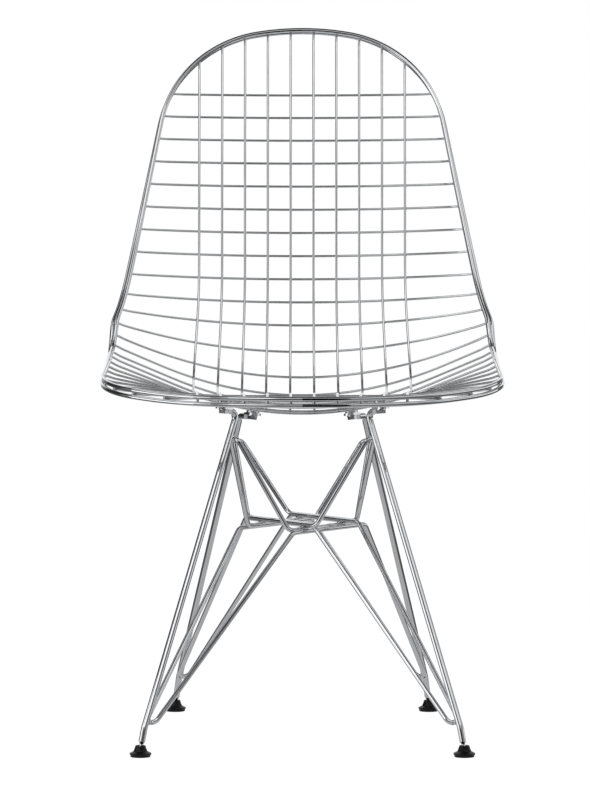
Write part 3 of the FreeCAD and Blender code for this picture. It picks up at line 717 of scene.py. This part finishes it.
@dataclass(frozen=True)
class BaseWelds:
    """The beads where braces hook on the legs, where they cross, and under the mesh.

    Sizes are half of each bead, along the rods, across them and out, in millimetres.
    """

    leg_size: Triple = (5.2, 3.6, 2.3)
    cross_size: Triple = (4.4, 3.2, 1.9)
    boss_size: Triple = (4.2, 2.3, 1.2)
    gather: float = 11.0
    grid: tuple[int, int] = (20, 12)

    def group(
        self,
        name: str,
        pairs: list[tuple[bpy.types.Object, bpy.types.Object]],
        radii: Triple,
    ) -> bpy.types.Object:
        """One object with the beads of several pairs of nodes.

        Args:
            name: The piece's name.
            pairs: Pairs of nodes to look at.
            radii: Half the size of each bead.

        Returns:
            The new object.
        """
        found = [Contacts.between(first, second, self.gather) for first, second in pairs]
        centres = np.concatenate([item.centres for item in found])
        along = np.concatenate([item.along for item in found])
        out = np.concatenate([item.out for item in found])
        LOG.info("%s: %d beads", name, len(centres))
        return bead_cloud(name, centres, (along, np.cross(out, along), out), radii, self.grid)

    def build(self, nodes: dict[str, bpy.types.Object]) -> Made:
        """The three groups of beads with their slots, riding on the chair.

        Args:
            nodes: The frame's nodes by name.

        Returns:
            The pieces with their slots.
        """
        legs, braces, wires, bosses = (
            [nodes[name] for name in sorted(nodes) if name.startswith(kind)]
            for kind in ("leg", "brace", "cross_wire", "mounting")
        )
        hooks = [(leg, brace) for leg in legs for brace in braces]
        crossed = [(one, two) for index, one in enumerate(braces) for two in braces[index + 1 :]]
        under = [(boss, wire) for boss in bosses for wire in wires]
        return on_chair(
            [
                (self.group("leg_welds", hooks, self.leg_size), Slot.BASE_ROD),
                (self.group("brace_welds", crossed, self.cross_size), Slot.BASE_ROD),
                (self.group("boss_welds", under, self.boss_size), Slot.HARDWARE),
            ]
        )


# Materials.


Socket = bpy.types.NodeSocket
Value = Socket | float


class Graph:
    """Adds and links shader nodes in one tree."""

    def __init__(self, tree: bpy.types.NodeTree) -> None:
        """Empties the tree and keeps it."""
        self.tree = tree
        tree.nodes.clear()

    def give(self, node: bpy.types.Node, key: str | int, value: Value | Color) -> None:
        """Links an output socket to a node's input, or sets the input to a value."""
        if isinstance(value, Socket):
            self.tree.links.new(value, node.inputs[key])
        else:
            node.inputs[key].default_value = value

    def add(self, kind: str, inputs: dict | None = None, **settings: object) -> bpy.types.Node:
        """Adds a node.

        Args:
            kind: The node's type name, without the "ShaderNode" in front.
            inputs: Values or output sockets for its inputs, by name or number.
            **settings: Properties of the node.

        Returns:
            The node.
        """
        name = kind if kind.startswith("NodeGroup") else f"ShaderNode{kind}"
        node = self.tree.nodes.new(name)
        for key, value in settings.items():
            setattr(node, key, value)
        for key, value in (inputs or {}).items():
            self.give(node, key, value)
        return node

    def maths(self, operation: str, first: Value, second: Value = 0.0) -> Socket:
        """The result of one Math node."""
        return self.add("Math", {0: first, 1: second}, operation=operation).outputs[0]

    def ranged(self, value: Value, window: Pair, to: Pair = (0.0, 1.0)) -> Socket:
        """Carries a value smoothly from one range to another.

        Args:
            value: The value.
            window: The two ends that it comes from; outside them it stays level.
            to: The two ends that it goes to.

        Returns:
            The new value.
        """
        inputs = {"Value": value, "From Min": window[0], "From Max": window[1]}
        inputs |= {"To Min": to[0], "To Max": to[1]}
        return self.add("MapRange", inputs, interpolation_type="SMOOTHSTEP").outputs[0]

    def window(self, offset: Value, half: float, soft: float) -> Socket:
        """A mask that is one inside a range and nothing outside.

        Args:
            offset: The distance from the middle of the range, on either side.
            half: Half the size of the range, to the middle of its soft edge.
            soft: The width of the soft edge.

        Returns:
            The mask.
        """
        edge = (half - soft / 2, half + soft / 2)
        return self.ranged(self.maths("ABSOLUTE", offset), edge, (1.0, 0.0))

    def mixed(self, share: Value, first: Socket | Color, second: Socket | Color) -> Socket:
        """A colour between two.

        Args:
            share: The share of the second.
            first: One colour.
            second: The other.

        Returns:
            The mixed colour.
        """
        node = self.add("Mix", {0: share}, data_type="RGBA")
        self.give(node, 6, first)
        self.give(node, 7, second)
        return node.outputs[2]

    def end(self, surface: bpy.types.Node) -> None:
        """Makes a shader the material's surface."""
        self.add("OutputMaterial", {"Surface": surface.outputs[0]})


def new_material(name: str) -> tuple[bpy.types.Material, Graph]:
    """A new material and the graph of its nodes, which is empty."""
    material = bpy.data.materials.new(name)
    material.use_nodes = True
    return material, Graph(material.node_tree)


@dataclass(frozen=True)
class SurfaceMarks:
    """A shader group: cloudy haze, a fine unevenness, and dust settled on top.

    Windows are the noise values, or upward slopes, between which a mark sets in.
    """

    name: str = "surface_marks"
    cloud_detail: float = 5.0
    cloud_roughness: float = 0.62
    haze_window: Pair = (0.42, 0.72)
    fine_ratio: float = 22.0
    fine_detail: float = 3.0
    fine_height: float = 0.35
    dust_window: Pair = (0.35, 0.98)
    speck_window: Pair = (0.48, 0.7)
    speck_range: Pair = (0.2, 1.0)

    def group(self) -> bpy.types.NodeTree:
        """The group, built on first use.

        Returns:
            A node group with Scale, Haze and Dust inputs, and Haze, Dust and Height outputs.
        """
        found = bpy.data.node_groups.get(self.name)
        if found:
            return found
        tree = bpy.data.node_groups.new(self.name, "ShaderNodeTree")
        graph = Graph(tree)
        for name, way in (
            ("Scale", "INPUT"),
            ("Haze", "INPUT"),
            ("Dust", "INPUT"),
            ("Haze", "OUTPUT"),
            ("Dust", "OUTPUT"),
            ("Height", "OUTPUT"),
        ):
            tree.interface.new_socket(name, in_out=way, socket_type="NodeSocketFloat")
        given = graph.add("NodeGroupInput").outputs
        place = graph.add("TexCoord").outputs["Object"]
        clouds = {"Vector": place, "Scale": given["Scale"], "Detail": self.cloud_detail}
        clouds["Roughness"] = self.cloud_roughness
        cloud = graph.add("TexNoise", clouds).outputs[0]
        haze = graph.maths("MULTIPLY", graph.ranged(cloud, self.haze_window), given["Haze"])
        fine_scale = graph.maths("MULTIPLY", given["Scale"], self.fine_ratio)
        grains = {"Vector": place, "Scale": fine_scale, "Detail": self.fine_detail}
        fine = graph.add("TexNoise", grains).outputs[0]
        facing = graph.add("NewGeometry").outputs["Normal"]
        upward = graph.add("SeparateXYZ", {0: facing}).outputs["Z"]
        settled = graph.ranged(upward, self.dust_window)
        speck = graph.ranged(fine, self.speck_window, self.speck_range)
        dust = graph.maths("MULTIPLY", graph.maths("MULTIPLY", settled, speck), given["Dust"])
        height = graph.maths("ADD", graph.maths("MULTIPLY", fine, self.fine_height), cloud)
        graph.add("NodeGroupOutput", {"Haze": haze, "Dust": dust, "Height": height})
        return tree

    def put(self, graph: Graph, scale: float, haze: float, dust: float) -> bpy.types.Node:
        """Places the group in a material with its own values.

        Args:
            graph: The material's graph.
            scale: Clouds to the metre.
            haze: The strength of the haze.
            dust: The strength of the dust.

        Returns:
            The group's node.
        """
        inputs = {"Scale": scale, "Haze": haze, "Dust": dust}
        return graph.add("Group", inputs, node_tree=self.group())


@dataclass(frozen=True)
class Plating:
    """A bright plated metal, hazed in clouds and a little dusty on top."""

    name: str
    color: Color
    hazed: Color
    roughness: Pair = (0.02, 0.1)
    scale: float = 45.0
    haze: float = 0.5
    dust: float = 0.03
    bump: float = 0.02
    bump_depth: float = 0.0004
    dust_color: Color = (0.5, 0.49, 0.47, 1.0)
    dust_roughness: float = 0.3
    dust_cover: float = 0.5

    def build(self) -> bpy.types.Material:
        """The material.

        Returns:
            A metal whose colour and roughness follow the haze, less metallic under dust.
        """
        material, graph = new_material(self.name)
        marks = SurfaceMarks().put(graph, self.scale, self.haze, self.dust).outputs
        haze, dust = marks["Haze"], marks["Dust"]
        color = graph.mixed(dust, graph.mixed(haze, self.color, self.hazed), self.dust_color)
        low, high = self.roughness
        roughness = graph.maths("ADD", graph.maths("MULTIPLY", haze, high - low), low)
        dusty = graph.maths("MULTIPLY", dust, self.dust_roughness)
        roughness = graph.maths("ADD", roughness, dusty)
        relief = {"Strength": self.bump, "Distance": self.bump_depth, "Height": marks["Height"]}
        normal = graph.add("Bump", relief).outputs[0]
        covered = graph.maths("MULTIPLY", dust, self.dust_cover)
        metallic = graph.maths("SUBTRACT", 1.0, covered)
        inputs = {"Base Color": color, "Metallic": metallic}
        inputs |= {"Roughness": roughness, "Normal": normal}
        graph.end(graph.add("BsdfPrincipled", inputs))
        return material


@dataclass(frozen=True)
class MouldedPlastic:
    """Black satin plastic with a fine grain and scuffs near the floor."""

    name: str = "black_glide"
    color: Color = (0.0035, 0.0035, 0.0038, 1.0)
    scuffed: Color = (0.014, 0.0137, 0.013, 1.0)
    scuff_height: float = 0.0035
    roughness: Pair = (0.34, 0.62)
    specular: float = 0.25
    scale: float = 160.0
    haze: float = 0.7
    dust: float = 0.15
    dust_wear: float = 0.5
    grain_scale: float = 2600.0
    grain_bump: float = 0.18
    grain_depth: float = 0.0001

    def build(self) -> bpy.types.Material:
        """The material.

        Returns:
            A black plastic that is paler and rougher where it is scuffed or dusty.
        """
        material, graph = new_material(self.name)
        marks = SurfaceMarks().put(graph, self.scale, self.haze, self.dust).outputs
        place = graph.add("TexCoord").outputs["Object"]
        height = graph.add("SeparateXYZ", {0: place}).outputs["Z"]
        low = graph.ranged(height, (0.0, self.scuff_height), (1.0, 0.0))
        scuff = graph.maths("MULTIPLY", low, marks["Haze"])
        worn = graph.maths("MAXIMUM", scuff, graph.maths("MULTIPLY", marks["Dust"], self.dust_wear))
        color = graph.mixed(worn, self.color, self.scuffed)
        smooth, rough = self.roughness
        roughness = graph.maths("ADD", graph.maths("MULTIPLY", worn, rough - smooth), smooth)
        grain = graph.add("TexVoronoi", {"Vector": place, "Scale": self.grain_scale}).outputs[0]
        relief = {"Strength": self.grain_bump, "Distance": self.grain_depth, "Height": grain}
        normal = graph.add("Bump", relief).outputs[0]
        inputs = {"Base Color": color, "Roughness": roughness, "Normal": normal}
        inputs["Specular IOR Level"] = self.specular
        graph.end(graph.add("BsdfPrincipled", inputs))
        return material


class Finishes:
    """One material for each of the record's slots."""

    def __init__(self) -> None:
        """Builds them all."""
        chrome = (0.74, 0.75, 0.77, 1.0)
        hazed_chrome = (0.62, 0.62, 0.63, 1.0)
        hazed_wire = (0.6, 0.6, 0.61, 1.0)
        zinc = (0.62, 0.63, 0.65, 1.0)
        hazed_zinc = (0.5, 0.5, 0.5, 1.0)
        hardware = Plating(
            "hardware_zinc",
            zinc,
            hazed_zinc,
            roughness=(0.16, 0.34),
            scale=220.0,
            haze=0.8,
            dust=0.2,
            bump=0.2,
        )
        self.by_slot = {
            Slot.MESH_WIRE: Plating("mesh_chrome", chrome, hazed_wire).build(),
            Slot.RIM_WIRE: Plating("rim_chrome", chrome, hazed_chrome, scale=30.0).build(),
            Slot.BASE_ROD: Plating("base_chrome", chrome, hazed_chrome, scale=28.0).build(),
            Slot.HARDWARE: hardware.build(),
            Slot.GLIDE: MouldedPlastic().build(),
        }

    def put(self, item: bpy.types.Object, slot: Slot) -> None:
        """Gives an object's every material slot the slot's finish.

        Args:
            item: The object.
            slot: The record's slot.
        """
        material = self.by_slot[slot]
        if not item.material_slots:
            item.data.materials.append(material)
        for place in item.material_slots:
            place.material = material


def node_slot(name: str) -> Slot:
    """The slot of a node, from the first word of its name.

    Args:
        name: The node's name.

    Returns:
        The slot; bosses, washers and bolts are hardware.
    """
    words = {
        "cross": Slot.MESH_WIRE,
        "long": Slot.MESH_WIRE,
        "rim": Slot.RIM_WIRE,
        "leg": Slot.BASE_ROD,
        "brace": Slot.BASE_ROD,
        "glide": Slot.GLIDE,
    }
    return words.get(name.split("_")[0], Slot.HARDWARE)


# The studio.


@dataclass(frozen=True)
class SoftBox:
    """A square lamp that points at the middle of the chair and doesn't show in plating."""

    name: str
    place: Triple
    size: float
    power: float

    def build(self, target: Array) -> None:
        """Makes the lamp and turns it to the target.

        Args:
            target: The point that it lights.
        """
        light = bpy.data.lights.new(self.name, "AREA")
        light.shape = "SQUARE"
        light.size = self.size
        light.energy = self.power
        item = bpy.data.objects.new(self.name, light)
        bpy.context.scene.collection.objects.link(item)
        item.location = self.place
        way = target - np.array(self.place)
        tilt = math.atan2(math.hypot(way[0], way[1]), -way[2])
        item.rotation_euler = (tilt, 0.0, math.atan2(way[1], way[0]) - math.pi / 2)
        item.visible_glossy = False


@dataclass(frozen=True)
class Panel:
    """A bright or dark panel of the room, as bright plating shows it.

    Angles are in degrees: azimuth from the front towards the sitter's left, elevation up
    from level, and half sizes to the middle of the soft edge.
    """

    azimuth: float
    elevation: float
    half_width: float
    half_height: float
    level: float


@dataclass(frozen=True)
class Card:
    """A black or white card on the floor that only bright plating sees, facing the chair."""

    name: str
    azimuth: float
    distance: float
    half_width: float
    height: float
    level: float

    def build(self) -> None:
        """Makes the card, hidden from the camera and from diffuse and shadow rays."""
        turn = math.radians(self.azimuth)
        out = np.array([math.sin(turn), -math.cos(turn), 0.0])
        side = np.array([math.cos(turn), math.sin(turn), 0.0]) * self.half_width
        middle = out * self.distance
        rise = np.array([0.0, 0.0, self.height])
        low = np.array([middle - side, middle + side])
        corners = np.concatenate([low, low[::-1] + rise])
        item = mesh_object(self.name, corners, np.array([[0, 1, 2, 3]]))
        material, graph = new_material(self.name)
        graph.end(graph.add("Emission", {"Color": WHITE, "Strength": self.level}))
        item.data.materials.append(material)
        item.visible_camera = False
        item.visible_diffuse = False
        item.visible_shadow = False
        item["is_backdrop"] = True


@dataclass(frozen=True)
class Studio:
    """A white floor and background, soft lamps, panels, cards and the photograph's camera.

    Attributes:
        floor_glow: How bright the camera sees the floor before the lamps light it.
        paper_rise: The depths between which the paper's level goes through paper_levels.
        plain_level: The world's even light on all that isn't a mirror.
        room_fade: The elevations between which the room goes through room_levels.
        soft_width: The width of a panel's soft edge at its sides, in degrees.
        soft_height: The same above and below.
        panels: The room's panels; a later one covers an earlier one.
    """

    floor_half: float = 2.6
    floor_glow: float = 0.94
    floor_albedo: float = 0.12
    paper_half: float = 0.42
    paper_front: float = -0.75
    paper_edge: float = 0.12
    paper_rise: Pair = (0.3, 1.3)
    paper_levels: Pair = (0.42, 0.95)
    plain_level: float = 0.62
    room_fade: Pair = (20.0, 70.0)
    room_levels: Pair = (0.3, 0.04)
    soft_width: float = 10.0
    soft_height: float = 8.0
    panels: tuple[Panel, ...] = (
        Panel(-26.0, 38.0, 13.0, 11.0, 2.0),
        Panel(-62.0, 6.0, 18.0, 16.0, 1.4),
        Panel(-84.0, 24.0, 24.0, 9.0, 0.08),
        Panel(-92.0, 46.0, 34.0, 11.0, 1.1),
        Panel(-122.0, 8.0, 20.0, 40.0, 0.03),
        Panel(98.0, 2.0, 34.0, 14.0, 0.95),
        Panel(67.0, 46.0, 50.0, 14.0, 0.95),
        Panel(148.0, 10.0, 10.0, 34.0, 0.12),
        Panel(0.0, -2.0, 18.0, 21.0, 0.0),
        Panel(4.0, 33.0, 15.0, 9.0, 0.9),
        Panel(180.0, 15.0, 26.0, 30.0, 1.0),
    )
    cards: tuple[Card, ...] = (
        Card("card_black_front", 9.0, 0.51, 0.075, 0.62, 0.0),
        Card("card_white_left", -64.0, 1.1, 0.34, 0.62, 1.4),
    )
    boxes: tuple[SoftBox, ...] = (
        SoftBox("box_above", (0.0, -0.3, 2.6), 1.6, 12.0),
        SoftBox("box_left", (-1.9, -1.9, 1.7), 1.1, 9.0),
        SoftBox("box_right", (1.9, -1.9, 1.5), 1.1, 6.0),
    )
    camera_place: Triple = (-0.00874, -9.5079, 1.32045)
    camera_pitch: float = 5.462
    camera_lens: float = 363.09
    camera_sensor: float = 36.0
    camera_reach: float = 100.0

    def floor(self) -> None:
        """A white floor, clear from below; plating shows the paper that runs under the chair."""
        half = self.floor_half
        corners = [[-half, -half, 0], [half, -half, 0], [half, half, 0], [-half, half, 0]]
        item = mesh_object("studio_floor", np.array(corners), np.array([[0, 1, 2, 3]]))
        material, graph = new_material("floor_white")
        place = graph.add("SeparateXYZ", {0: graph.add("TexCoord").outputs["Object"]}).outputs
        across = graph.window(place["X"], self.paper_half, self.paper_edge)
        front = (self.paper_front, self.paper_front + self.paper_edge)
        ahead = graph.ranged(place["Y"], front)
        paper = graph.ranged(place["Y"], self.paper_rise, self.paper_levels)
        mirrored = graph.maths("MULTIPLY", graph.maths("MULTIPLY", across, ahead), paper)
        path = graph.add("LightPath").outputs
        others = graph.maths("MAXIMUM", path[Ray.GLOSSY.value], path[Ray.TRANSMISSION.value])
        strength = graph.maths(
            "ADD",
            graph.maths("MULTIPLY", path[Ray.CAMERA.value], self.floor_glow),
            graph.maths("MULTIPLY", others, mirrored),
        )
        albedo = self.floor_albedo
        diffuse = graph.add("BsdfDiffuse", {"Color": (albedo, albedo, albedo, 1.0)})
        glow = graph.add("Emission", {"Color": WHITE, "Strength": strength})
        both = graph.add("AddShader", {0: diffuse.outputs[0], 1: glow.outputs[0]})
        below = graph.add("NewGeometry").outputs["Backfacing"]
        clear = graph.add("BsdfTransparent")
        graph.end(graph.add("MixShader", {0: below, 1: both.outputs[0], 2: clear.outputs[0]}))
        item.data.materials.append(material)
        item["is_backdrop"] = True

    def room(self, graph: Graph) -> Socket:
        """The room's brightness in each direction, as plating shows it.

        It fades upwards, and each panel replaces it inside the panel's soft edge.

        Args:
            graph: The world's graph.

        Returns:
            The brightness.
        """
        way = graph.add("SeparateXYZ", {0: graph.add("TexCoord").outputs["Generated"]}).outputs
        toward = graph.maths("MULTIPLY", way["Y"], -1.0)
        azimuth = graph.maths("DEGREES", graph.maths("ARCTAN2", way["X"], toward))
        elevation = graph.maths("DEGREES", graph.maths("ARCSINE", way["Z"]))
        level = graph.ranged(elevation, self.room_fade, self.room_levels)
        for panel in self.panels:
            aside = graph.maths("SUBTRACT", azimuth, panel.azimuth)
            wrapped = graph.add("Math", {0: aside, 1: 180.0, 2: -180.0}, operation="WRAP")
            above = graph.maths("SUBTRACT", elevation, panel.elevation)
            mask = graph.maths(
                "MULTIPLY",
                graph.window(wrapped.outputs[0], panel.half_width, self.soft_width),
                graph.window(above, panel.half_height, self.soft_height),
            )
            step = graph.maths("SUBTRACT", panel.level, level)
            level = graph.maths("ADD", level, graph.maths("MULTIPLY", mask, step))
        return level

    def world(self) -> None:
        """White to the camera, the room to bright plating, and even light to the rest."""
        world = bpy.data.worlds.new("studio_world")
        bpy.context.scene.world = world
        world.use_nodes = True
        graph = Graph(world.node_tree)
        path = graph.add("LightPath").outputs
        even, shown, white = (
            graph.add("Background", {"Color": WHITE, "Strength": strength}).outputs[0]
            for strength in (self.plain_level, self.room(graph), 1.0)
        )
        mirrored = graph.maths("MAXIMUM", path[Ray.GLOSSY.value], path[Ray.TRANSMISSION.value])
        plating = graph.add("MixShader", {0: mirrored, 1: even, 2: shown}).outputs[0]
        seen = graph.add("MixShader", {0: path[Ray.CAMERA.value], 1: plating, 2: white})
        graph.add("OutputWorld", {"Surface": seen.outputs[0]})

    def camera(self) -> None:
        """The camera at the photograph's angle."""
        data = bpy.data.cameras.new("photo_camera")
        data.sensor_fit = "VERTICAL"
        data.sensor_height = self.camera_sensor
        data.lens = self.camera_lens
        data.clip_end = self.camera_reach
        item = bpy.data.objects.new("photo_camera", data)
        bpy.context.scene.collection.objects.link(item)
        item.location = self.camera_place
        item.rotation_euler = (math.radians(90.0 - self.camera_pitch), 0.0, 0.0)
        bpy.context.scene.camera = item

    def build(self) -> None:
        """The whole studio."""
        low, high = (np.array(corner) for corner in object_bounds())
        self.floor()
        self.world()
        for box in self.boxes:
            box.build((low + high) / 2)
        for card in self.cards:
            card.build()
        self.camera()
        bpy.context.scene.view_settings.view_transform = "Standard"


def main() -> None:
    """Builds every piece in order."""
    logging.basicConfig(level=logging.INFO, format="%(name)s: %(message)s")
    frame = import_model()
    finishes = Finishes()
    for name, node in frame["nodes"].items():
        finishes.put(node, node_slot(name))
    LOG.info("dressed %d nodes", len(frame["nodes"]))
    for piece, slot in MeshWelds(Shell()).build() + BaseWelds().build(frame["nodes"]):
        finishes.put(piece, slot)
        LOG.info("%s: %d faces", piece.name, len(piece.data.polygons))
    Studio().build()


if __name__ == "__main__":
    main()
